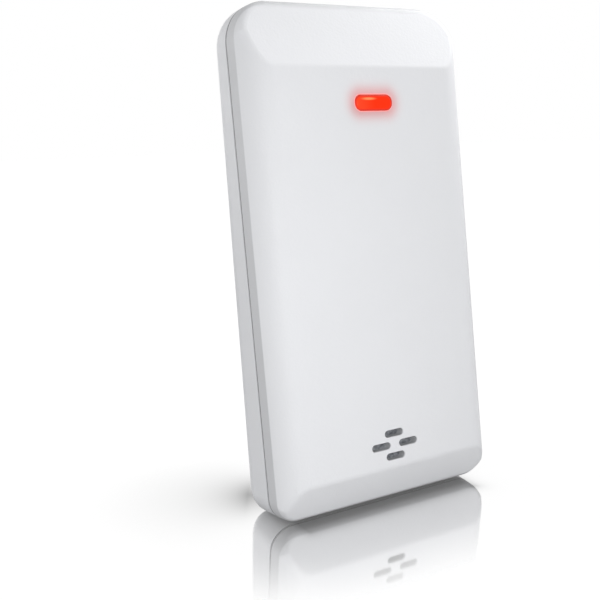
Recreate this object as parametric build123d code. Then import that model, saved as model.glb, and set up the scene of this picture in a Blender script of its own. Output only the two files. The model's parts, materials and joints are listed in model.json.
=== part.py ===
from build123d import *
import os
from math import atan, cos, degrees, pi, radians, sin, sqrt, tan

# A small wireless outdoor weather sensor that leans back on a fold-out stand.
# Every piece is drawn upright in the frame of the case: X to the right, Y from the
# flat front to the back, Z up the front. Pieces of the sloping back are drawn with Y
# measured from that back and Z along it. At the end all of it leans back together.
# Sizes are in millimetres and angles in degrees.

# Whole case
case_width = 50.0
case_height = 97.0
top_corner_radius = 7.9
bottom_corner_radius = 4.6
wall = 1.8
inner_wall = 1.1
light_wall = 1.4
overrun = 1.0
round_share = 0.45
lean_angle = 6.95

# Front shell
front_shell_depth = 7.1
crown_inset = 5.7
crown_radius = 5.85
facet_depth = 4.5
top_facet_height = 12.7
bottom_facet_height = 7.1
facet_softness = 1.8
slant_limit = 0.14
front_draft = 2.0
tongue_thickness = 0.8
tongue_height = 1.2
tongue_gap = 0.1

# Rear shell
rear_depth_bottom = 12.0
rear_depth_top = 8.3
rear_round = 6.0
rear_draft = 1.0
seal_height = 0.6
parting_groove = 0.3

# Four screws that hold the two shells together
case_screw_inset = 8.0
case_screw_low = 10.5
case_screw_top_gap = 10.0
case_screw_radius = 1.1
case_screw_head_radius = 1.9
case_screw_head_height = 1.4
case_screw_bite = 4.0
case_boss_radius = 2.6
screw_seat_thickness = 1.7
screw_fit = 0.05
screw_end_room = 0.5
screw_tip_room = 0.3
head_room = 0.3
cross_share = 0.55
cross_slimness = 4

# Status window and its lamp
window_x = 1.47
window_top_gap = 19.5
window_width = 8.4
window_height = 3.0
window_radius = 1.35
window_proud = 0.5
window_soft = 0.4
window_flange = 0.8
window_flange_depth = 0.9
window_fit = 0.06
lamp_width = 3.2
lamp_height = 1.6
lamp_depth = 1.5
shroud_gap = 0.35
shroud_wall = 0.8
shroud_board_gap = 0.4

# Vent: four slots in a diamond, with a screen behind
vent_z = 11.6
vent_slot_length = 4.4
vent_slot_height = 1.45
vent_step_x = 3.22
vent_step_z = 2.26
screen_width = 13.0
screen_height = 7.2
screen_thickness = 0.4
screen_radius = 1.5

# Circuit board, a frame round the battery tray
board_front = 5.5
board_thickness = 1.2
board_side_gap = 4.0
board_low = 5.0
board_top_gap = 5.0
board_corner = 4.0
board_gap = 0.5
board_screw_low_gap = 3.6
board_screw_high_gap = 4.9
board_screw_radius = 0.8
board_screw_head_radius = 1.6
board_screw_head_height = 1.1
board_screw_bite = 3.0
board_boss_radius = 2.0

# Parts on the board. Shares are of the strip beside the tray
chip_share = 0.84
chip_thickness = 1.4
chip_lead_share = 0.06
chip_lead_width = 0.4
chip_lead_thickness = 0.25
chip_leads = 8
crystal_share = 0.55
crystal_long_share = 0.222
crystal_depth = 3.5
radio_share = 0.88
radio_long_share = 0.323
radio_board_thickness = 0.8
radio_can_thickness = 2.0
radio_margin = 0.8
antenna_radius = 0.4
antenna_side_gap = 10.0
antenna_low_gap = 9.5
antenna_high_gap = 1.0
antenna_rise = 1.3
antenna_bend = 1.0
humidity_x = 3.2
humidity_size = 5.0
humidity_depth = 1.2
humidity_port_radius = 1.0
humidity_port_depth = 0.4
thermistor_x = -4.2
thermistor_bead_radius = 1.1
thermistor_lead_radius = 0.25
thermistor_lead_gap = 1.2
thermistor_reach = 2.2

# Battery tray in the back, with two AAA cells: 10.5 wide, and 44.5 long in this case
cell_radius = 5.25
cell_nub_radius = 1.9
cell_nub_height = 0.8
cell_edge = 0.5
cell_dish_radius = 3.6
cell_dish_depth = 0.3
cell_spacing = 11.0
cell_gap = 0.3
tray_low = 23.4
tray_top_gap = 24.1
contact_thickness = 0.4
contact_width = 8.6
contact_dimple = 0.5
contact_dimple_radius = 1.6
contact_tab_width = 2.4
contact_tab_reach = 1.7
contact_tab_lift = 0.25
contact_tab_gap = 0.1
spring_height = 3.7
spring_wire = 0.2
spring_seat_gap = 0.1
spring_base_radius = 3.4
spring_tip_radius = 1.7
spring_turns = 4

# Battery cover
cover_thickness = 1.5
cover_gap = 0.25
cover_under_gap = 0.3
cover_ledge = 3.2
cover_radius = 2.5
cover_low_reach = 1.4
cover_high_reach = 7.9
cover_rib_height = 0.9
cover_rib_width = 1.0
cover_rib_span = 4.0
cover_rib_shares = (0.25, 0.5, 0.75)
cover_grip_width = 12.0
cover_grip_height = 1.0
cover_grip_depth = 0.5
cover_grip_step = 2.2
cover_grip_gap = 8.8
cover_grips = 4
tab_width = 1.9
tab_length = 1.2
tab_thickness = 0.65
tab_room = 0.35
tab_side_gap = 1.4
tab_skin_gap = 0.25
tab_slot_depth = 2.9

# Screw of the cover, and the two controls under the cover
control_rise = 4.7
control_fit = 0.08
cover_screw_radius = 0.95
cover_screw_head_radius = 1.8
cover_screw_head_height = 0.9
cover_screw_length = 4.5
cover_boss_radius = 2.5
cover_boss_depth = 4.0
cover_boss_hole = 1.4
channel_x = -8.0
channel_body_width = 9.0
channel_body_height = 3.6
channel_body_depth = 5.0
channel_lever_width = 1.8
channel_lever_height = 1.6
channel_travel = 2.0
channel_slot_gap = 0.4
reset_x = 8.0
reset_body_width = 6.0
reset_body_height = 4.0
reset_body_depth = 3.5
reset_body_corner = 0.7
reset_plunger_radius = 1.4
reset_plunger_depth = 1.9
reset_travel = 0.25
reset_hole_radius = 1.1

# Keyhole for hanging on a screw
keyhole_gap = 5.1
keyhole_radius = 3.5
keyhole_slot_radius = 1.75
keyhole_slot_rise = 4.0
pocket_width = 8.8
pocket_gap = 1.3
pocket_height = 10.0
pocket_depth = 3.6
pocket_radius = 1.2

# Fold-out stand: a leg that hangs from two stub pins near the foot of the back
stand_screw_gap = 6.0
stand_thickness = 2.2
stand_round = 1.7
stand_axis_t = 17.4
stand_axis_depth = 1.9
stand_barrel_radius = 1.5
stand_heel = 2.2
stand_stub_radius = 0.9
stand_stub_length = 1.5
stand_stub_fit = 0.06
stand_side_gap = 0.3
stand_stop_gap = 0.3
stand_cheek = 2.2
stand_open = 13.0
stand_window_width = 12.0
stand_window_height = 6.0
stand_window_low = 5.0

# Sizes worked out from the ones above
case_depth = front_shell_depth + rear_depth_bottom
rear_slope = degrees(atan((rear_depth_bottom - rear_depth_top) / case_height))
back_frame = Pos(0, case_depth, 0) * Rot(rear_slope, 0, 0)
front_flat_width = case_width - 2 * crown_inset
case_screw_x = case_width / 2 - case_screw_inset
case_screw_high = case_height - case_screw_top_gap
window_z = case_height - window_top_gap
board_back = board_front + board_thickness
board_width = case_width - 2 * board_side_gap
board_high = case_height - board_top_gap
tray_high = case_height - tray_top_gap
tray_length = tray_high - tray_low
cell_length = tray_length - spring_height - 2 * contact_thickness - contact_dimple
tray_half = cell_spacing / 2 + cell_radius + cell_gap
tray_top_n = -cover_thickness - cover_under_gap
cell_n = tray_top_n - cell_radius
tray_floor_n = cell_n - cell_radius - cell_gap
recess_half = tray_half + cover_ledge
cover_low = tray_low - cover_low_reach
cover_high = tray_high + cover_high_reach
cover_grip_high = cover_high - cover_grip_gap
keyhole_t = cover_high + keyhole_gap
pocket_low = cover_high + pocket_gap
strip_width = board_width / 2 - tray_half - inner_wall - board_gap
side_x = (board_width - strip_width) / 2
board_screw_low = tray_low + board_screw_low_gap
board_screw_high = tray_high - board_screw_high_gap
chip_width = strip_width * chip_share
chip_lead_reach = strip_width * chip_lead_share
chip_z = (tray_low + tray_high) / 2
crystal_width = strip_width * crystal_share
crystal_height = tray_length * crystal_long_share
crystal_z = chip_z - crystal_height
radio_width = strip_width * radio_share
radio_height = tray_length * radio_long_share
antenna_x = board_width / 2 - antenna_side_gap
antenna_low = board_high - antenna_low_gap
antenna_high = board_high - antenna_high_gap
control_t = tray_high + control_rise
control_z = control_t * cos(radians(rear_slope)) + tray_top_n * sin(radians(rear_slope))
stand_width = 2 * (case_screw_x - stand_screw_gap)
stand_swing = stand_open + lean_angle - rear_slope
stand_half = stand_width / 2 + stand_side_gap
stand_corner = sqrt(stand_heel ** 2 + (stand_thickness / 2) ** 2)
stand_top = stand_axis_t + stand_corner + stand_stop_gap
heel_reach = stand_heel * sin(radians(stand_swing)) + stand_thickness / 2 * cos(radians(stand_swing))
stand_floor = stand_axis_depth + heel_reach + stand_stop_gap
tab_x = recess_half - cover_gap - tab_side_gap


def at_depth(y):
    """A plane parallel to the front at depth y. A positive extrusion goes to the front."""
    return Plane.XZ.offset(-y)


def pad(x, low, width, height, back, depth, radius):
    """A plate with round corners, from depth back towards the front."""
    face = Pos(x, low + height / 2) * RectangleRounded(width, height, radius)
    return extrude(at_depth(back) * face, amount=depth)


def block(x, low, width, height, back, depth):
    """A plate with square corners, from depth back towards the front."""
    return Pos(x, back - depth / 2, low + height / 2) * Box(width, depth, height)


def post(x, z, radius, back, depth):
    """A round post or hole along Y, from depth back towards the front."""
    return extrude(at_depth(back) * Pos(x, z) * Circle(radius), amount=depth)


def cross_bar(y, z, radius, length):
    """A round bar along X."""
    return Pos(0, y, z) * Rot(0, 90, 0) * Cylinder(radius, length)


def in_back(shape):
    """Moves a piece drawn against the sloping back into the frame of the case."""
    return back_frame * shape


def back_depth(z):
    """Depth of the sloping back at height z."""
    return case_depth - z * tan(radians(rear_slope))


def mirrored(shape):
    return shape + mirror(shape, Plane.YZ)


def outline(inset):
    """The outline of the case, seen from the front."""
    width = case_width - 2 * inset
    height = case_height - 2 * inset
    face = Pos(0, case_height / 2) * Rectangle(width, height)
    face = fillet(face.vertices().sort_by(Axis.Y)[:2], bottom_corner_radius - inset)
    return fillet(face.vertices().sort_by(Axis.Y)[-2:], top_corner_radius - inset)


def ring(outer_inset, inner_inset, back, depth):
    """A rim that follows the outline between two insets."""
    face = outline(outer_inset) - outline(inner_inset)
    return extrude(at_depth(back) * face, amount=depth)


def crown_prism(inset):
    """The flat front with its rounded long sides, as one straight bar."""
    reach = crown_radius - inset
    flat = front_flat_width / 2
    side = flat + reach
    deep = 2 * front_shell_depth
    edges = [
        CenterArc((flat, crown_radius), reach, -90, 90),
        Line((side, crown_radius), (side, deep)),
        Line((side, deep), (-side, deep)),
        Line((-side, deep), (-side, crown_radius)),
        CenterArc((-flat, crown_radius), reach, 180, 90),
        Line((-flat, inset), (flat, inset)),
    ]
    return extrude(make_face(edges), amount=case_height)


def facet_prism(inset):
    """The side view of the front shell, with its top and bottom facets."""
    deep = 2 * front_shell_depth
    corners = [
        (0, bottom_facet_height),
        (facet_depth, 0),
        (deep, 0),
        (deep, case_height),
        (facet_depth, case_height),
        (0, case_height - top_facet_height),
    ]
    face = make_face(Polyline(*corners, close=True))
    if inset:
        face = offset(face, amount=-inset, kind=Kind.INTERSECTION)
    return extrude(Plane.YZ * face, amount=case_width / 2, both=True)


def front_form(inset):
    rim = at_depth(front_shell_depth) * outline(inset)
    body = extrude(rim, amount=front_shell_depth, taper=front_draft)
    return body & crown_prism(inset) & facet_prism(inset)


def rear_form(inset):
    facing_back = Plane((0, front_shell_depth, 0), x_dir=(-1, 0, 0), z_dir=(0, 1, 0))
    body = extrude(facing_back * outline(inset), amount=rear_depth_bottom, taper=rear_draft)
    cut_depth = case_depth - inset / cos(radians(rear_slope))
    beyond = Pos(0, rear_depth_bottom / 2, case_height / 2) * Box(
        2 * case_width, rear_depth_bottom, 2 * case_height
    )
    body = body - Pos(0, cut_depth, 0) * Rot(rear_slope, 0, 0) * beyond
    back = body.faces().sort_by(Axis.Y)[-1]
    return fillet(back.edges(), rear_round - inset)


def case_screw_spots():
    for z in (case_screw_low, case_screw_high):
        for x in (-case_screw_x, case_screw_x):
            yield x, z


def board_screw_spots():
    for z in (board_screw_low, board_screw_high):
        for x in (-side_x, side_x):
            yield x, z


def vent_spots():
    yield 0, vent_z + vent_step_z
    yield 0, vent_z - vent_step_z
    yield vent_step_x, vent_z
    yield -vent_step_x, vent_z


def window_face(grow):
    face = RectangleRounded(window_width + 2 * grow, window_height + 2 * grow, window_radius + grow)
    return Pos(window_x, window_z) * face


def soft_front():
    """The outside of the front shell, with the edges of its facets softened."""
    form = front_form(0)
    facets = [f for f in form.faces() if abs(f.normal_at().Z * f.normal_at().Y) > slant_limit]
    return fillet([e for f in facets for e in f.edges()], facet_softness)


def build_front_shell():
    outer = soft_front()
    shell = outer - front_form(wall)
    shell += ring(wall - tongue_thickness, wall, front_shell_depth + tongue_height, tongue_height + overrun)
    for x, z in case_screw_spots():
        shell += post(x, z, case_boss_radius, front_shell_depth, front_shell_depth - wall / 2) & outer
    for x, z in board_screw_spots():
        shell += post(x, z, board_boss_radius, board_front, board_front - wall / 2)
    shroud_back = board_front - shroud_board_gap
    shroud_inside = window_flange + shroud_gap
    shroud = window_face(shroud_inside + shroud_wall) - window_face(shroud_inside)
    shell += extrude(at_depth(shroud_back) * shroud, amount=shroud_back - wall / 2)
    shell -= extrude(at_depth(wall + overrun) * window_face(window_fit), amount=wall + 2 * overrun)
    for x, z in vent_spots():
        slot = Pos(x, z) * SlotOverall(vent_slot_length, vent_slot_height)
        shell -= extrude(at_depth(wall + overrun) * slot, amount=wall + 2 * overrun)
    for x, z in case_screw_spots():
        depth = overrun + case_screw_bite + screw_end_room
        shell -= post(x, z, case_screw_radius + screw_fit, front_shell_depth + overrun, depth)
    for x, z in board_screw_spots():
        depth = overrun + board_screw_bite + screw_end_room
        shell -= post(x, z, board_screw_radius + screw_fit, board_front + overrun, depth)
    return shell


def build_rear_shell():
    outer = rear_form(0)
    shell = outer - rear_form(wall)
    rebate = tongue_height + seal_height
    shell -= ring(wall - tongue_thickness - tongue_gap, wall + overrun,
                  front_shell_depth + rebate, rebate + overrun)
    shell -= ring(-overrun, parting_groove, front_shell_depth + parting_groove, 2 * parting_groove)
    shell += in_back(build_tray_walls())
    for x, z in case_screw_spots():
        radius = case_screw_head_radius + head_room + inner_wall
        back = back_depth(z) - wall / 2
        shell += post(x, z, radius, back, back - front_shell_depth)
    shell += in_back(build_stand_bay()) & outer
    shell -= in_back(build_tray_space() + build_cover_space() + build_keyhole() + build_stand_space())
    seat = front_shell_depth + screw_seat_thickness
    for x, z in case_screw_spots():
        back = case_depth + overrun
        shell -= post(x, z, case_screw_head_radius + head_room, back, back - seat)
        shell -= post(x, z, case_screw_radius + screw_fit, seat + overrun, screw_seat_thickness + 2 * overrun)
    return shell


def build_tray_walls():
    """The battery tray, the ledge of its cover, the keyhole pocket and the screw boss."""
    skin = -wall / 2
    walls = pad(0, tray_low - inner_wall, 2 * (tray_half + inner_wall), tray_length + 2 * inner_wall,
                skin, skin - tray_floor_n + inner_wall, cell_gap + inner_wall)
    around = cover_gap + light_wall
    walls += pad(0, cover_low - around, 2 * (recess_half + light_wall), cover_high - cover_low + 2 * around,
                 skin, skin - tray_top_n + light_wall, cover_radius + light_wall)
    walls += pad(0, pocket_low - light_wall, pocket_width + 2 * light_wall, pocket_height + 2 * light_wall,
                 skin, skin + wall + pocket_depth + light_wall, pocket_radius + light_wall)
    return walls + post(0, control_t, cover_boss_radius, tray_top_n - light_wall / 2, cover_boss_depth)


def build_tray_space():
    """Room for the cells, and the holes of the two contact tabs."""
    space = pad(0, tray_low, 2 * tray_half, tray_length, overrun, overrun - tray_floor_n, cell_gap)
    for x in (-cell_spacing / 2, cell_spacing / 2):
        space += block(x, tray_high - overrun, contact_tab_width + 2 * contact_tab_gap,
                       inner_wall + 2 * overrun, contact_tab_back() + contact_tab_gap,
                       contact_thickness + 2 * contact_tab_gap)
    return space


def contact_tab_back():
    """Where the back faces of the contact tabs lie, measured from the back of the case."""
    return board_back + contact_tab_lift + contact_thickness - back_depth(tray_high)


def build_cover_space():
    """The recess of the cover, with the holes and the slot that open into it."""
    space = pad(0, cover_low - cover_gap, 2 * recess_half, cover_high - cover_low + 2 * cover_gap,
                overrun, overrun - tray_top_n, cover_radius + cover_gap)
    skin = cover_thickness - tab_thickness - tab_skin_gap
    space += mirrored(block(tab_x, cover_low - tab_length - tab_room, tab_width + 2 * tab_room,
                            tab_length + tab_room + overrun, -skin, tab_slot_depth - skin))
    slot_width = channel_lever_width + 2 * channel_travel + 2 * channel_slot_gap
    slot_height = channel_lever_height + 2 * channel_slot_gap
    near = tray_top_n + overrun
    through = light_wall + 2 * overrun
    space += pad(channel_x, control_t - slot_height / 2, slot_width, slot_height, near, through,
                 slot_height * round_share)
    space += post(reset_x, control_t, reset_hole_radius, near, through)
    return space + post(0, control_t, cover_boss_hole, near, overrun + cover_boss_depth)


def build_keyhole():
    through = wall + 2 * overrun
    space = pad(0, pocket_low, pocket_width, pocket_height, -wall, pocket_depth, pocket_radius)
    space += post(0, keyhole_t, keyhole_radius, overrun, through)
    space += block(0, keyhole_t, 2 * keyhole_slot_radius, keyhole_slot_rise, overrun, through)
    return space + post(0, keyhole_t + keyhole_slot_rise, keyhole_slot_radius, overrun, through)


def build_stand_bay():
    """The walls inside the back that carry the stand and close its recess."""
    return block(0, -overrun, 2 * (stand_half + stand_cheek), stand_top + light_wall + overrun,
                 overrun, overrun + stand_floor + light_wall)


def build_stand_space():
    space = block(0, -overrun, 2 * stand_half, stand_top + overrun, overrun, overrun + stand_floor)
    reach = stand_width + 2 * (stand_stub_length + stand_side_gap)
    return space + cross_bar(-stand_axis_depth, stand_axis_t, stand_stub_radius + stand_stub_fit, reach)


def build_stand():
    """The leg, drawn folded, then swung open about its stub pins."""
    half = stand_thickness / 2
    toe = stand_axis_t - leg_length
    height = leg_length + stand_heel
    upright = SlotOverall(height + half, stand_thickness, 90)
    side_view = Pos(-stand_axis_depth, toe + (height - half) / 2) * upright
    leg = extrude(Plane.YZ * side_view, amount=stand_width / 2, both=True)
    leg = leg & pad(0, toe - half, stand_width, height + half, 0, 2 * stand_axis_depth, stand_round)
    barrel = stand_width - 2 * stand_side_gap
    leg += cross_bar(-stand_axis_depth, stand_axis_t, stand_barrel_radius, barrel)
    leg -= pad(0, stand_window_low, stand_window_width, stand_window_height,
               overrun, 2 * stand_axis_depth + 2 * overrun, half)
    leg += cross_bar(-stand_axis_depth, stand_axis_t, stand_stub_radius, stand_width + 2 * stand_stub_length)
    hinge = Pos(0, -stand_axis_depth, stand_axis_t)
    back = Pos(0, stand_axis_depth, -stand_axis_t)
    return in_back(hinge * Rot(stand_swing, 0, 0) * back * leg)


def build_battery_cover():
    cover = pad(0, cover_low, 2 * (recess_half - cover_gap), cover_high - cover_low, 0,
                cover_thickness, cover_radius)
    for share in cover_rib_shares:
        cover += block(0, tray_low + share * tray_length, cover_rib_span, cover_rib_width,
                       -cover_thickness / 2, cover_thickness / 2 + cover_rib_height)
    cover += mirrored(block(tab_x, cover_low - tab_length, tab_width, tab_length + cover_radius,
                            tab_thickness - cover_thickness, tab_thickness))
    cover -= post(0, control_t, cover_screw_head_radius + control_fit, overrun,
                  overrun + cover_screw_head_height)
    cover -= post(0, control_t, cover_screw_radius + control_fit, overrun, 2 * overrun + cover_thickness)
    for n in range(cover_grips):
        cover -= pad(0, cover_grip_high - n * cover_grip_step, cover_grip_width, cover_grip_height,
                     overrun, overrun + cover_grip_depth, cover_grip_height * round_share)
    return in_back(cover)


def cross_slot(x, z, back, radius, head_height):
    """The cross in a screw head."""
    long = 2 * radius * cross_share
    short = long / cross_slimness
    depth = head_height * cross_share
    cross = block(x, z - short / 2, long, short, back, depth)
    return cross + block(x, z - long / 2, short, long, back, depth)


def build_cover_screw():
    head = post(0, control_t, cover_screw_head_radius, 0, cover_screw_head_height)
    shank = post(0, control_t, cover_screw_radius, 0, cover_screw_length)
    slot = cross_slot(0, control_t, 0, cover_screw_head_radius, cover_screw_head_height)
    return in_back(head + shank - slot)


def screw(x, z, seat, radius, head_radius, head_height, length):
    """A screw along Y, with the underside of its head at the depth seat."""
    top = seat + head_height
    body = post(x, z, head_radius, top, head_height)
    rim = body.edges().sort_by(Axis.Y)[-1]
    body = fillet(rim, head_height * round_share)
    body += post(x, z, radius, top - head_height / 2, length + head_height / 2)
    return body - cross_slot(x, z, top, head_radius, head_height)


def build_case_screws():
    seat = front_shell_depth + screw_seat_thickness
    length = screw_seat_thickness + case_screw_bite
    return Compound([
        screw(x, z, seat, case_screw_radius, case_screw_head_radius, case_screw_head_height, length)
        for x, z in case_screw_spots()
    ])


def build_board_screws():
    length = board_thickness + board_screw_bite
    return Compound([
        screw(x, z, board_back, board_screw_radius, board_screw_head_radius, board_screw_head_height, length)
        for x, z in board_screw_spots()
    ])


def build_board():
    back = board_back + overrun
    through = board_thickness + 2 * overrun
    board = pad(0, board_low, board_width, board_high - board_low, board_back, board_thickness, board_corner)
    around = inner_wall + board_gap
    board -= pad(0, tray_low - around, 2 * (tray_half + around), tray_length + 2 * around,
                 back, through, board_gap)
    radius = case_boss_radius + board_gap
    for x, z in case_screw_spots():
        board -= post(x, z, radius, back, through)
        board -= block(2 * x, z - radius, 2 * case_screw_x, 2 * radius, back, through)
    for x, z in board_screw_spots():
        board -= post(x, z, board_screw_radius + screw_fit, back, through)
    return board


def build_window():
    """The status window: its face stands proud and a flange sits behind the wall."""
    back = wall + window_flange_depth
    body = extrude(at_depth(back) * window_face(0), amount=back + window_proud)
    body = fillet(body.edges().group_by(Axis.Y)[0], window_soft)
    return body + extrude(at_depth(back) * window_face(window_flange), amount=window_flange_depth)


def build_lamp():
    lamp = block(window_x, window_z - lamp_height / 2, lamp_width, lamp_height, board_front, lamp_depth)
    dome = lamp_height * round_share
    return lamp + post(window_x, window_z, dome, board_front - lamp_depth, dome / 2)


def build_screen():
    return pad(0, vent_z - screen_height / 2, screen_width, screen_height,
               wall + screen_thickness, screen_thickness, screen_radius)


def build_seal():
    return ring(wall - tongue_thickness, wall, front_shell_depth + tongue_height + seal_height, seal_height)


def build_chip():
    chip = block(-side_x, chip_z - chip_width / 2, chip_width, chip_width,
                 board_back + chip_thickness, chip_thickness)
    pitch = chip_width / chip_leads
    for n in range(chip_leads):
        z = chip_z - chip_width / 2 + (n + 1 / 2) * pitch
        chip += block(-side_x, z - chip_lead_width / 2, chip_width + 2 * chip_lead_reach, chip_lead_width,
                      board_back + chip_lead_thickness, chip_lead_thickness)
    return chip


def build_crystal():
    radius = crystal_width * round_share
    can = pad(-side_x, crystal_z - crystal_height / 2, crystal_width, crystal_height,
              board_back + crystal_depth, crystal_depth, radius)
    return fillet(can.edges().group_by(Axis.Y)[-1], radius / 2)


def build_radio():
    low = chip_z - radio_height / 2
    base = block(side_x, low, radio_width, radio_height, board_back + radio_board_thickness,
                 radio_board_thickness)
    can_depth = radio_board_thickness + radio_can_thickness
    can = pad(side_x, low + 2 * radio_margin, radio_width - 2 * radio_margin, radio_height - 4 * radio_margin,
              board_back + can_depth, can_depth, radio_margin)
    return base + can


def build_antenna():
    """A wire that stands off the board and runs round its top edge."""
    y = board_back + antenna_rise
    route = [
        (antenna_x, board_back, antenna_low),
        (antenna_x, y, antenna_low),
        (antenna_x, y, antenna_high),
        (-antenna_x, y, antenna_high),
        (-antenna_x, y, antenna_low + antenna_bend),
    ]
    path = FilletPolyline(*route, radius=antenna_bend)
    return sweep(Plane(path @ 0, z_dir=path % 0) * Circle(antenna_radius), path=path)


def build_humidity_sensor():
    body = block(humidity_x, vent_z - humidity_size / 2, humidity_size, humidity_size,
                 board_front, humidity_depth)
    front = board_front - humidity_depth
    return body - post(humidity_x, vent_z, humidity_port_radius, front + humidity_port_depth,
                       humidity_port_depth + overrun)


def build_thermistor():
    """A bead on two thin leads that stand off the front of the board."""
    bead = Pos(thermistor_x, board_front - thermistor_reach, vent_z) * Sphere(thermistor_bead_radius)
    for side in (-1, 1):
        bead += post(thermistor_x + side * thermistor_lead_gap / 2, vent_z, thermistor_lead_radius,
                     board_front, thermistor_reach)
    return bead


def build_cell():
    """One upright cell: a crimped can with its raised end up and its dished end down."""
    can = cell_length - cell_nub_height
    profile = [
        (0, cell_dish_depth),
        (cell_dish_radius, cell_dish_depth),
        (cell_dish_radius + cell_dish_depth, 0),
        (cell_radius - cell_edge, 0),
        (cell_radius, cell_edge),
        (cell_radius, can - cell_edge),
        (cell_radius - cell_edge, can),
        (cell_nub_radius, can),
        (cell_nub_radius, cell_length),
        (0, cell_length),
    ]
    return revolve(Plane.XZ * make_face(Polyline(*profile, close=True)), Axis.Z)


def build_battery_left():
    low = tray_high - contact_thickness - contact_dimple - cell_length
    return in_back(Pos(-cell_spacing / 2, cell_n, low) * build_cell())


def build_battery_right():
    high = tray_low + contact_thickness + contact_dimple + cell_length
    return in_back(Pos(cell_spacing / 2, cell_n, high) * Rot(180, 0, 0) * build_cell())


def contact_plate(x, width, low):
    return block(x, low, width, contact_thickness, cell_n + contact_width / 2, contact_width)


def dimple():
    """The raised spot that meets the end of a cell."""
    cone = Cone(contact_dimple_radius, contact_dimple_radius / 2, contact_dimple)
    return Pos(0, 0, contact_dimple / 2) * cone


def contact_tab(x):
    """The tongue of an upper contact, through the end wall of the tray onto the board."""
    return block(x, tray_high - contact_thickness, contact_tab_width,
                 contact_thickness + inner_wall + contact_tab_reach, contact_tab_back(), contact_thickness)


def build_bridge_contact():
    plate = contact_plate(0, cell_spacing + contact_width, tray_low)
    spot = Pos(cell_spacing / 2, cell_n, tray_low + contact_thickness)
    return in_back(plate + spot * dimple())


def build_positive_contact():
    x = -cell_spacing / 2
    low = tray_high - contact_thickness
    spot = Pos(x, cell_n, low) * Rot(180, 0, 0)
    return in_back(contact_plate(x, contact_width, low) + spot * dimple() + contact_tab(x))


def build_negative_contact():
    x = cell_spacing / 2
    return in_back(contact_plate(x, contact_width, tray_high - contact_thickness) + contact_tab(x))


def spring_point(turn):
    """A point of the cone spring, and its direction, after a number of turns."""
    share = turn / spring_turns
    shrink = (spring_tip_radius - spring_base_radius) / spring_turns
    climb = (spring_height - 2 * spring_wire - 2 * spring_seat_gap) / spring_turns
    radius = spring_base_radius + shrink * turn
    angle = 2 * pi * turn
    point = Vector(radius * cos(angle), radius * sin(angle), climb * turn)
    way = Vector(
        shrink / (2 * pi) * cos(angle) - radius * sin(angle),
        shrink / (2 * pi) * sin(angle) + radius * cos(angle),
        climb / (2 * pi),
    )
    return point, way.normalized()


def biarc(start, start_way, end, end_way):
    """Two arcs that leave start and reach end along the given directions."""
    chord = end - start
    both = start_way + end_way
    slack = 2 * (1 - start_way.dot(end_way))
    reach = (sqrt(chord.dot(both) ** 2 + slack * chord.dot(chord)) - chord.dot(both)) / slack
    middle = (start + start_way * reach + end - end_way * reach) / 2
    first = TangentArc(start, middle, tangent=start_way)
    return [first, TangentArc(middle, end, tangent=first % 1)]


def build_coil():
    """A cone spring that stands on its wide end."""
    arcs = []
    for n in range(spring_turns * 2):
        start, start_way = spring_point(n / 2)
        end, end_way = spring_point((n + 1) / 2)
        arcs += biarc(start, start_way, end, end_way)
    path = Wire(arcs)
    return sweep(Plane(path @ 0, z_dir=path % 0) * Circle(spring_wire), path=path)


def build_spring_left():
    base = tray_low + contact_thickness + spring_seat_gap + spring_wire
    return in_back(Pos(-cell_spacing / 2, cell_n, base) * build_coil())


def build_spring_right():
    base = tray_high - contact_thickness - spring_seat_gap - spring_wire
    return in_back(Pos(cell_spacing / 2, cell_n, base) * Rot(180, 0, 0) * build_coil())


def spring_gap():
    """The least distance between two turns of a spring."""
    parts = 24
    points = [spring_point(n / parts)[0] for n in range(spring_turns * parts + 1)]
    gaps = [(p - q).length for n, p in enumerate(points) for q in points[n + parts // 2:]]
    return min(gaps) - 2 * spring_wire


def build_channel_switch():
    back = board_back + channel_body_depth
    body = block(channel_x, control_z - channel_body_height / 2, channel_body_width, channel_body_height,
                 back, channel_body_depth)
    room = channel_lever_width + 2 * channel_travel + 2 * control_fit
    height = channel_lever_height + 2 * control_fit
    return body - block(channel_x, control_z - height / 2, room, height, back + overrun,
                        overrun + channel_body_depth / 2)


def build_channel_lever():
    low = board_back + channel_body_depth / 2 + control_fit
    top = back_depth(control_z) + tray_top_n - control_fit
    lever = block(channel_x, control_z - channel_lever_height / 2, channel_lever_width,
                  channel_lever_height, top, top - low)
    return fillet(lever.edges().group_by(Axis.Y)[-1], channel_lever_height * round_share / 2)


def build_reset_switch():
    back = board_back + reset_body_depth
    body = pad(reset_x, control_z - reset_body_height / 2, reset_body_width, reset_body_height,
               back, reset_body_depth, reset_body_corner)
    return body - post(reset_x, control_z, reset_plunger_radius + control_fit, back + overrun,
                       overrun + reset_body_depth / 2)


def build_reset_button():
    low = board_back + reset_body_depth / 2 + reset_travel + control_fit
    top = board_back + reset_body_depth + reset_plunger_depth
    plunger = post(reset_x, control_z, reset_plunger_radius, top, top - low)
    return fillet(plunger.edges().sort_by(Axis.Y)[-1], reset_travel)


# The leaning case stands on its lower back edge, and the toe of the leg is as low
lean = Rot(-lean_angle, 0, 0)
floor_z = (lean * rear_form(0)).bounding_box().min.Z
stand_hinge = (lean * back_frame * Pos(0, -stand_axis_depth, stand_axis_t)).position
leg_length = (stand_hinge.Z - floor_z - stand_thickness / 2) / cos(radians(stand_open))

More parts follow.
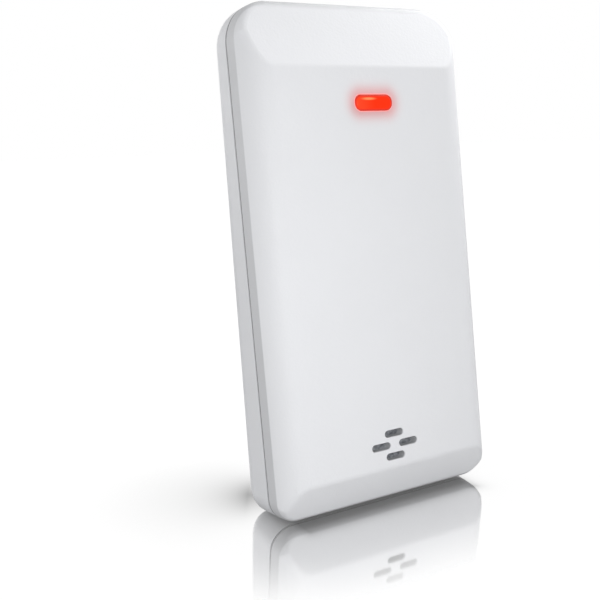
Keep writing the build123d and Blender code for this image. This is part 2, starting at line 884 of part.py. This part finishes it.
pieces = {
    "front_shell": build_front_shell,
    "rear_shell": build_rear_shell,
    "battery_cover": build_battery_cover,
    "cover_screw": build_cover_screw,
    "desk_stand": build_stand,
    "status_window": build_window,
    "status_lamp": build_lamp,
    "vent_screen": build_screen,
    "case_seal": build_seal,
    "case_screws": build_case_screws,
    "main_board": build_board,
    "board_screws": build_board_screws,
    "processor_chip": build_chip,
    "crystal": build_crystal,
    "radio_module": build_radio,
    "antenna_wire": build_antenna,
    "humidity_sensor": build_humidity_sensor,
    "thermistor": build_thermistor,
    "battery_left": build_battery_left,
    "battery_right": build_battery_right,
    "bridge_contact": build_bridge_contact,
    "positive_contact": build_positive_contact,
    "negative_contact": build_negative_contact,
    "spring_left": build_spring_left,
    "spring_right": build_spring_right,
    "channel_switch": build_channel_switch,
    "channel_lever": build_channel_lever,
    "reset_switch": build_reset_switch,
    "reset_button": build_reset_button,
}

os.makedirs("parts", exist_ok=True)
leaning = {name: lean * build() for name, build in pieces.items()}
boxes = [piece.bounding_box() for piece in leaning.values()]
middle_x = (min(b.min.X for b in boxes) + max(b.max.X for b in boxes)) / 2
middle_y = (min(b.min.Y for b in boxes) + max(b.max.Y for b in boxes)) / 2
place = Pos(-middle_x, -middle_y, -min(b.min.Z for b in boxes))
for name, piece in leaning.items():
    export_step(place * piece, f"parts/{name}.step")

print("least gap between spring turns, mm:", round(spring_gap(), 3))
print("case origin, mm:", place.position)
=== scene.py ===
import json
import math

import bpy
from mathutils import Matrix, Vector

# Materials, floor, light and camera for a small leaning weather sensor.
# Lengths are in metres, and a strength of 1 is white.

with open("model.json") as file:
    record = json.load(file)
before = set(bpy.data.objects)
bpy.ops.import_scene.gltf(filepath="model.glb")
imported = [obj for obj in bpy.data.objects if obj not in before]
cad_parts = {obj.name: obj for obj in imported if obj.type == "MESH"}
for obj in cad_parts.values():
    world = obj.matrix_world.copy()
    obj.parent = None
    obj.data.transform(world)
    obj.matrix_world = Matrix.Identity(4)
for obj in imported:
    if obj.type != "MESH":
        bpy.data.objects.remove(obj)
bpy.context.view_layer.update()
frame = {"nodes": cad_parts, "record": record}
pieces = frame["nodes"]

# The upright frame of the case: how far it leans back and where its lower front edge is
caseFrame = {"lean": math.radians(6.95), "y": -0.0137352, "z": 0.0015}


def grey(level):
    return (level, level, level, 1)


# A colour as it looks on screen, from 0 to 255
def rgb(r, g, b):
    return tuple((v / 255) ** 2.2 for v in (r, g, b)) + (1,)


# Builds the nodes of one material, or of the world
class Nodes:
    def __init__(self, owner, outputKind="ShaderNodeOutputMaterial"):
        self.owner = owner
        owner.use_nodes = True
        self.tree = owner.node_tree
        self.tree.nodes.clear()
        self.output = self.tree.nodes.new(outputKind)

    def add(self, kind, inputs=None, **settings):
        node = self.tree.nodes.new(kind)
        for key, value in settings.items():
            setattr(node, key, value)
        for key, value in (inputs or {}).items():
            self.feed(node.inputs[key], value)
        return node

    def feed(self, socket, value):
        if isinstance(value, bpy.types.NodeSocket):
            self.tree.links.new(value, socket)
        elif isinstance(value, bpy.types.Node):
            self.tree.links.new(value.outputs[0], socket)
        else:
            socket.default_value = value

    def math(self, operation, a, b=0.0, c=0.0):
        return self.add("ShaderNodeMath", {0: a, 1: b, 2: c}, operation=operation).outputs[0]

    def times(self, first, *others):
        for other in others:
            first = self.math("MULTIPLY", first, other)
        return first

    # One at zero, falling to 1/e at the given reach
    def decay(self, value, reach):
        return self.math("POWER", math.e, self.times(value, -1 / reach))

    def vector(self, operation, a, b=(0, 0, 0)):
        node = self.add("ShaderNodeVectorMath", {0: a, 1: b}, operation=operation)
        return node.outputs["Value" if operation in ("LENGTH", "DOT_PRODUCT") else "Vector"]

    def part(self, vector, axis):
        return self.add("ShaderNodeSeparateXYZ", {0: vector}).outputs[axis]

    # Position in the frame of the floor
    def place(self):
        return self.add("ShaderNodeTexCoord").outputs["Object"]

    # Position in the upright frame of the case
    def casePlace(self):
        moved = self.vector("SUBTRACT", self.place(), (0, caseFrame["y"], caseFrame["z"]))
        turned = self.add("ShaderNodeVectorRotate", {"Vector": moved, "Angle": caseFrame["lean"]},
                          rotation_type="X_AXIS")
        return turned.outputs[0]

    # Distance from a rectangle, zero inside it, along the axes marked 1
    def outside(self, place, centre, half, axes):
        flat = self.vector("MULTIPLY", self.vector("SUBTRACT", place, centre), axes)
        beyond = self.vector("SUBTRACT", self.vector("ABSOLUTE", flat), half)
        return self.vector("LENGTH", self.vector("MAXIMUM", beyond, (0, 0, 0)))

    # Noise with features of about the given size
    def noise(self, size, detail=2.0):
        return self.add("ShaderNodeTexNoise", {
            "Vector": self.place(), "Scale": 1 / size, "Detail": detail, "Roughness": 0.5,
        }).outputs["Fac"]

    def ramp(self, value, low, high, toLow=0.0, toHigh=1.0, smooth=False):
        return self.add("ShaderNodeMapRange", {
            "Value": value, "From Min": low, "From Max": high, "To Min": toLow, "To Max": toHigh,
        }, interpolation_type="SMOOTHSTEP" if smooth else "LINEAR").outputs[0]

    # A value that noise moves up and down by the spread
    def around(self, noise, value, spread):
        return self.ramp(noise, 0.3, 0.7, value - spread, value + spread)

    def mix(self, factor, a, b):
        node = self.add("ShaderNodeMix", data_type="RGBA")
        self.feed(node.inputs[0], factor)
        self.feed(node.inputs[6], a)
        self.feed(node.inputs[7], b)
        return node.outputs[2]

    def bump(self, height, strength, distance):
        return self.add("ShaderNodeBump",
                        {"Height": height, "Strength": strength, "Distance": distance})

    def surface(self, inputs):
        shader = self.add("ShaderNodeBsdfPrincipled", inputs)
        self.feed(self.output.inputs["Surface"], shader)
        return self.owner


def newMaterial(name):
    return Nodes(bpy.data.materials.new(name))


# Status window: lit clear red plastic with a darker rim of painted shade and a painted highlight

window = {
    "centre": (0.00147, 0, 0.0775),
    "half": (0.0042, 0, 0.0015),
    "corner": 0.00135,
    "colour": rgb(150, 20, 10),
    "shine": 0.05,
    "roughness": 0.125,
    "roughnessSpread": 0.025,
    "lit": (1.0, 0.032, 0.004, 1),
    "litLeft": (1.0, 0.07, 0.022, 1),    # at the left end
    "litSpread": 0.03,
    "cloudSize": 0.0012,
    # painted shade: the rim of the window drawn darker than its glow
    "rim": (0.42, 0.045, 0.028, 1),
    "rimCentre": (0.00122, 0, 0.07738),  # off the centre, as seen past the raised edge
    "rimStart": 0.00012,                 # inwards from the outline
    "rimWidth": 0.00060,
    "spot": (1.0, 0.30, 0.11, 1),        # the long pale painted highlight
    "spotCentre": (0.00012, 0, 0.07818),
    "spotReach": (450, 0, 2700),         # one over its half width and half height
    "spotCore": 0.2,
    "rippleSize": 0.0006,
    "rippleStrength": 0.2,
    "rippleHeight": 0.00001,
}


# Distance from the outline of the window, negative inside it
def windowDistance(n, centre):
    inner = tuple(max(h - window["corner"], 0) for h in window["half"])
    fromInner = n.outside(n.casePlace(), centre, inner, (1, 0, 1))
    return n.math("SUBTRACT", fromInner, window["corner"])


# Glow of the lit window, with painted shade on its rim and a painted highlight
def windowLight(n):
    across = n.part(n.casePlace(), "X")
    middle = window["centre"][0]
    leftness = n.ramp(across, middle, middle - window["half"][0])
    body = n.mix(leftness, window["lit"], window["litLeft"])
    fromSpot = n.vector("SUBTRACT", n.casePlace(), window["spotCentre"])
    reach = n.vector("LENGTH", n.vector("MULTIPLY", fromSpot, window["spotReach"]))
    spot = n.ramp(reach, 1.0, window["spotCore"], smooth=True)
    fromRim = windowDistance(n, window["rimCentre"])
    inside = n.ramp(fromRim, -window["rimStart"], -window["rimWidth"], smooth=True)
    return n.mix(inside, window["rim"], n.mix(spot, body, window["spot"]))


def makeWindow():
    n = newMaterial("windowPlastic")
    cloud = n.noise(window["cloudSize"])
    ripple = n.noise(window["rippleSize"])
    return n.surface({
        "Base Color": window["colour"],
        "Roughness": n.around(cloud, window["roughness"], window["roughnessSpread"]),
        "Specular IOR Level": window["shine"],
        "Emission Color": windowLight(n),
        "Emission Strength": n.around(cloud, 1.0, window["litSpread"]),
        "Normal": n.bump(ripple, window["rippleStrength"], window["rippleHeight"]),
    })


# Housing: white plastic with a fine moulded grain, tinted by the painted light of the window and
# darkened by painted shade.
# Depths are measured back from the plane of the front.

housing = {
    "colour": rgb(237, 238, 241),
    "shade": rgb(233, 234, 237),
    "patchSize": 0.02,
    "shine": 0.25,
    "roughness": 0.50,
    "roughnessSpread": 0.05,
    "wearSize": 0.004,
    "grainSize": 0.00042,
    "grainHeight": 0.000017,
    "strip": 0.80,            # painted shade: share of light on the flat side of the front shell
    "stripFrom": 0.0039,
    "stripSoft": 0.0004,
    "seam": 0.45,             # painted shade: share of light at the parting line
    "seamDepth": 0.0071,
    "seamHalf": 0.0003,
    "vent": 0.62,             # painted shade: share of light on the walls of the slots
    "ventDepth": 0.0005,
    "ventWall": 0.0025,
    "ventCentre": (0, 0, 0.0116),
    "ventHalf": (0.0058, 0, 0.0033),
    # painted light: the red glow of the window on the plastic round it
    "paintedGlow": (0.85, 0.09, 0.085, 1),
    "paintedGlowShare": 0.45,
    "paintedGlowReach": 0.00165,
    # painted light: a bright glowing ring on the plastic round the window
    "ring": (1.0, 0.2, 0.15, 1),
    "ringStrength": 0.38,
    "ringWidth": 0.00035,
    "lampDepth": 0.0008,      # the painted glow and ring end here
}


# Painted shade: share of light left on the walls of the vent slots
def paintedVentShade(n, depth):
    inWall = n.times(n.ramp(depth, 0.0, housing["ventDepth"], smooth=True),
                     n.math("LESS_THAN", depth, housing["ventWall"]))
    away = n.vector("ABSOLUTE", n.vector("SUBTRACT", n.casePlace(), housing["ventCentre"]))
    for axis, half in (("X", housing["ventHalf"][0]), ("Z", housing["ventHalf"][2])):
        inWall = n.times(inWall, n.math("LESS_THAN", n.part(away, axis), half))
    return n.ramp(inWall, 0.0, 1.0, 1.0, housing["vent"])


# Painted shade: share of light left on the side of the front shell
def paintedStripShade(n, depth):
    start = housing["stripFrom"]
    pastCrown = n.ramp(depth, start, start + housing["stripSoft"], smooth=True)
    beforeSeam = n.math("LESS_THAN", depth, housing["seamDepth"])
    return n.ramp(n.times(pastCrown, beforeSeam), 0.0, 1.0, 1.0, housing["strip"])


# Painted shade: share of light left in the parting line
def paintedSeamShade(n, depth):
    away = n.math("ABSOLUTE", n.math("SUBTRACT", depth, housing["seamDepth"]))
    half = housing["seamHalf"]
    return n.ramp(away, half / 2, half, housing["seam"], 1.0, smooth=True)


# Painted light of the window: share of its red glow painted on the plastic, and strength of the
# painted bright ring round the window
def paintedWindowGlow(n, depth):
    away = n.math("MAXIMUM", windowDistance(n, window["centre"]), 0.0)
    onFront = n.ramp(depth, housing["lampDepth"], housing["lampDepth"] / 2)
    reach = n.math("DIVIDE", away, housing["paintedGlowReach"])
    paintedGlow = n.times(n.decay(n.times(reach, reach), 1.0), housing["paintedGlowShare"], onFront)
    edge = n.ramp(away, housing["ringWidth"], 0.0, smooth=True)
    return paintedGlow, n.times(edge, onFront, housing["ringStrength"])


def makeHousing():
    n = newMaterial("housingPlastic")
    depth = n.part(n.casePlace(), "Y")
    white = n.mix(n.noise(housing["patchSize"], detail=3), housing["colour"], housing["shade"])
    # painted shade on the side of the front shell, in the parting line and on the slot walls
    shade = n.times(paintedStripShade(n, depth), paintedSeamShade(n, depth), paintedVentShade(n, depth))
    # painted red glow and painted bright ring of the window
    paintedGlow, ring = paintedWindowGlow(n, depth)
    cells = n.add("ShaderNodeTexVoronoi", {
        "Vector": n.place(), "Scale": 1 / housing["grainSize"],
    }, feature="SMOOTH_F1").outputs["Distance"]
    grain = n.math("ADD", cells, n.noise(housing["grainSize"] * 2, detail=3))
    wear = n.noise(housing["wearSize"])
    return n.surface({
        "Base Color": n.mix(paintedGlow, n.vector("MULTIPLY", white, shade), housing["paintedGlow"]),
        "Specular IOR Level": housing["shine"],
        "Roughness": n.around(wear, housing["roughness"], housing["roughnessSpread"]),
        "Normal": n.bump(grain, 1.0, housing["grainHeight"]),
        "Emission Color": housing["ring"],
        "Emission Strength": ring,
    })


# Every other piece: one finish each, in two tones, with a grain of its own

finishes = {
    "screw": dict(colour=rgb(178, 180, 184), other=rgb(150, 152, 158), metal=1.0,
                  roughness=0.35, grain=0.0003, height=0.000006),
    "lamp": dict(colour=rgb(244, 240, 226), other=rgb(232, 226, 208), metal=0.0,
                 roughness=0.3, grain=0.0006, height=0.000005),
    "screen": dict(colour=rgb(150, 153, 157), other=rgb(92, 95, 100), metal=0.0,
                   roughness=0.8, grain=0.0003, height=0.00005),
    "seal": dict(colour=rgb(58, 58, 60), other=rgb(44, 44, 46), metal=0.0,
                 roughness=0.75, grain=0.0005, height=0.00001),
    "board": dict(colour=rgb(24, 96, 62), other=rgb(38, 122, 82), metal=0.0,
                  roughness=0.35, grain=0.0016, height=0.00003),
    "chip": dict(colour=rgb(34, 34, 36), other=rgb(44, 44, 47), metal=0.0,
                 roughness=0.6, grain=0.0003, height=0.00001),
    "can": dict(colour=rgb(196, 198, 200), other=rgb(176, 178, 182), metal=1.0,
                roughness=0.28, grain=0.0008, height=0.00001),
    "wire": dict(colour=rgb(190, 112, 62), other=rgb(166, 92, 48), metal=0.9,
                 roughness=0.3, grain=0.0005, height=0.000006),
    "bead": dict(colour=rgb(40, 40, 44), other=rgb(56, 56, 60), metal=0.0,
                 roughness=0.25, grain=0.0005, height=0.00002),
    "cell": dict(colour=rgb(62, 66, 72), other=rgb(84, 88, 94), metal=0.6,
                 roughness=0.32, grain=0.002, height=0.00001),
    "contact": dict(colour=rgb(206, 206, 202), other=rgb(188, 188, 186), metal=1.0,
                    roughness=0.25, grain=0.0006, height=0.000006),
    "switch_body": dict(colour=rgb(40, 40, 42), other=rgb(52, 52, 54), metal=0.0,
                        roughness=0.55, grain=0.0004, height=0.00001),
    "lever": dict(colour=rgb(222, 223, 226), other=rgb(206, 207, 210), metal=0.0,
                  roughness=0.45, grain=0.0004, height=0.00001),
}

# Shared by all finishes; the sizes are times the grain of the finish
finishDetail = {
    "patchSize": 3,
    "patchEdges": (0.35, 0.65),
    "wearSize": 5,
    "roughnessSpread": 0.08,
    "bump": 0.6,
}


def makeFinish(name, look):
    n = newMaterial(name + "Finish")
    detail, grain = finishDetail, look["grain"]
    patches = n.ramp(n.noise(grain * detail["patchSize"], detail=3), *detail["patchEdges"])
    wear = n.noise(grain * detail["wearSize"])
    return n.surface({
        "Base Color": n.mix(patches, look["colour"], look["other"]),
        "Metallic": look["metal"],
        "Roughness": n.around(wear, look["roughness"], detail["roughnessSpread"]),
        "Normal": n.bump(n.noise(grain, detail=4), detail["bump"], look["height"]),
    })


# Each piece takes the finish that its record names
def dressPieces():
    made = {"housing": makeHousing(), "window": makeWindow()}
    for name, look in finishes.items():
        made[name] = makeFinish(name, look)
    slotOf = {row["node"]: row["material_slot"] for row in frame["record"]["subparts"]}
    for name, piece in pieces.items():
        piece.data.materials.clear()
        piece.data.materials.append(made[slotOf[name]])
        for polygon in piece.data.polygons:
            polygon.use_smooth = True
    print("stage: materials on", len(pieces), "pieces")


# Floor: a mirror near the sensor, pure white to the eye further out, painted soft shadow at the
# foot

floor = {
    "size": 6.0,
    "drop": 0.00002,
    "colour": grey(0.50),            # the light it gives back to the sensor
    "otherColour": grey(0.51),
    "patchSize": 0.05,
    "seenColour": grey(0.06),        # the paint that the eye sees, under the white
    "footCentre": (0, -0.002, 0),
    "footHalf": (0.020, 0.011, 0),
    "gloss": 0.85,
    "roughness": 0.06,
    "mirrorNear": 0.008,             # from the foot outwards the mirror fades
    "mirrorFar": 0.031,
    "lift": 0.94,                    # the white at the foot
    "whiteFar": 0.045,
    # painted contact shadow round the foot
    "contact": 0.36,
    "contactReach": 0.0014,
    # painted soft shadow on the left of the foot
    "shadeStart": (-0.0215, 0.0095, 0),
    "shadeAlong": (-0.86, 0.51, 0),  # the way the painted shadow runs out
    "shadeAcross": (0.51, 0.86, 0),
    "shadeNear": 0.36,
    "shadeNearReach": 0.005,
    "shadeFar": 0.15,
    "shadeFarReach": 0.020,
    "shadeWidth": 0.009,
    "shadeSpread": 0.5,
}


# Share of light that the painted soft shadow on the left of the foot takes away
def paintedSideShadow(n):
    fromStart = n.vector("SUBTRACT", n.place(), floor["shadeStart"])
    signed = n.vector("DOT_PRODUCT", fromStart, floor["shadeAlong"])
    across = n.vector("DOT_PRODUCT", fromStart, floor["shadeAcross"])
    along = n.math("MAXIMUM", signed, 0.0)
    near = n.times(n.decay(along, floor["shadeNearReach"]), floor["shadeNear"])
    far = n.times(n.decay(along, floor["shadeFarReach"]), floor["shadeFar"])
    before = n.decay(n.math("SUBTRACT", along, signed), floor["shadeNearReach"])
    width = n.math("MULTIPLY_ADD", along, floor["shadeSpread"], floor["shadeWidth"])
    offAxis = n.math("DIVIDE", across, width)
    sides = n.decay(n.times(offAxis, offAxis), 1.0)
    return n.times(n.math("ADD", near, far), before, sides)


# Share of the floor's light left by the painted shadows: the side shadow and the contact shadow
def paintedShadowFactor(n, away):
    contact = n.times(n.decay(away, floor["contactReach"]), floor["contact"])
    return n.times(n.math("SUBTRACT", 1.0, paintedSideShadow(n)), n.math("SUBTRACT", 1.0, contact))


def makeFloor():
    bpy.ops.mesh.primitive_plane_add(size=floor["size"], location=(0, 0, -floor["drop"]))
    plane = bpy.context.object
    plane.name = "studioFloor"
    n = newMaterial("studioFloorSurface")
    away = n.outside(n.place(), floor["footCentre"], floor["footHalf"], (1, 1, 0))
    # painted shadow, applied to the white, the seen paint and the mirror
    light = paintedShadowFactor(n, away)
    eye = n.add("ShaderNodeLightPath").outputs["Is Camera Ray"]
    given = n.mix(n.noise(floor["patchSize"]), floor["colour"], floor["otherColour"])
    seen = n.vector("MULTIPLY", floor["seenColour"][:3], light)
    matt = n.add("ShaderNodeBsdfDiffuse", {"Color": n.mix(eye, given, seen)})
    lift = n.ramp(away, 0.0, floor["whiteFar"], floor["lift"], 1.0, smooth=True)
    glow = n.add("ShaderNodeEmission", {"Color": grey(1.0), "Strength": n.times(lift, light, eye)})
    white = n.add("ShaderNodeAddShader", {0: matt, 1: glow})
    gloss = n.add("ShaderNodeBsdfGlossy", {
        "Color": n.vector("MULTIPLY", (1, 1, 1), light), "Roughness": floor["roughness"],
    })
    shine = n.ramp(away, floor["mirrorNear"], floor["mirrorFar"], floor["gloss"], 0.0, smooth=True)
    both = n.add("ShaderNodeMixShader", {0: n.times(shine, eye), 1: white, 2: gloss})
    n.feed(n.output.inputs["Surface"], both)
    plane.data.materials.append(n.owner)
    print("stage: floor")


# Light: a plain room that looks white, and soft square lamps aimed at the middle of the case

lights = {
    "room": 0.43,
    "seen": 1.0,
    "target": (0, 0, 0.045),
    "lamps": [
        dict(name="front", at=(0.0, -0.98, 0.25), size=0.5, watts=0.88),
        dict(name="nearLeft", at=(-0.063, -0.135, 0.066), size=0.06, watts=0.086),
        dict(name="nearTopRight", at=(0.116, 0.0, 0.183), size=0.09, watts=0.196),
        dict(name="backLeft", at=(-0.69, 0.58, 0.11), size=0.4, watts=2.3),
        dict(name="back", at=(-0.25, 0.95, 0.22), size=0.5, watts=1.0),
    ],
}


def makeRoom():
    world = bpy.data.worlds.new("studioRoom")
    bpy.context.scene.world = world
    n = Nodes(world, "ShaderNodeOutputWorld")
    path = n.add("ShaderNodeLightPath").outputs
    seenRay = n.math("MAXIMUM", path["Is Camera Ray"], path["Is Glossy Ray"])
    room, seen = (n.add("ShaderNodeBackground", {"Color": grey(1.0), "Strength": lights[name]})
                  for name in ("room", "seen"))
    n.feed(n.output.inputs["Surface"], n.add("ShaderNodeMixShader", {0: seenRay, 1: room, 2: seen}))
    print("stage: room")


def makeLights():
    target = Vector(lights["target"])
    for lamp in lights["lamps"]:
        data = bpy.data.lights.new(lamp["name"], "AREA")
        data.size = lamp["size"]
        data.energy = lamp["watts"]
        obj = bpy.data.objects.new(lamp["name"], data)
        bpy.context.scene.collection.objects.link(obj)
        obj.location = lamp["at"]
        obj.rotation_euler = (target - obj.location).to_track_quat("-Z", "Y").to_euler()
        obj.visible_camera = False
    print("stage: lights")


# Camera: the photograph's angle. Angles are in degrees: yaw to the right, pitch down.

camera = {
    "at": (-0.10066, -0.1471052, 0.07338),
    "yaw": 30.70,
    "pitch": 10.59,
    "roll": -1.54,
    "lens": 54.02,
    "sensor": 36.0,
    "nearest": 0.01,
    "furthest": 20,
}


def makeCamera():
    data = bpy.data.cameras.new("photoCamera")
    data.lens = camera["lens"]
    data.sensor_width = camera["sensor"]
    data.clip_start = camera["nearest"]
    data.clip_end = camera["furthest"]
    obj = bpy.data.objects.new("photoCamera", data)
    bpy.context.scene.collection.objects.link(obj)
    yaw, pitch, roll = (math.radians(camera[k]) for k in ("yaw", "pitch", "roll"))
    ahead = Vector((math.sin(yaw) * math.cos(pitch), math.cos(yaw) * math.cos(pitch),
                    -math.sin(pitch)))
    right = Vector((math.cos(yaw), -math.sin(yaw), 0))
    up = right.cross(ahead)
    rolledRight = right * math.cos(roll) + up * math.sin(roll)
    rolledUp = up * math.cos(roll) - right * math.sin(roll)
    turn = Matrix((rolledRight, rolledUp, -ahead)).transposed()
    obj.matrix_world = Matrix.Translation(camera["at"]) @ turn.to_4x4()
    bpy.context.scene.camera = obj
    print("stage: camera")


dressPieces()
makeFloor()
makeRoom()
makeLights()
makeCamera()
bpy.context.scene.view_settings.view_transform = "Standard"
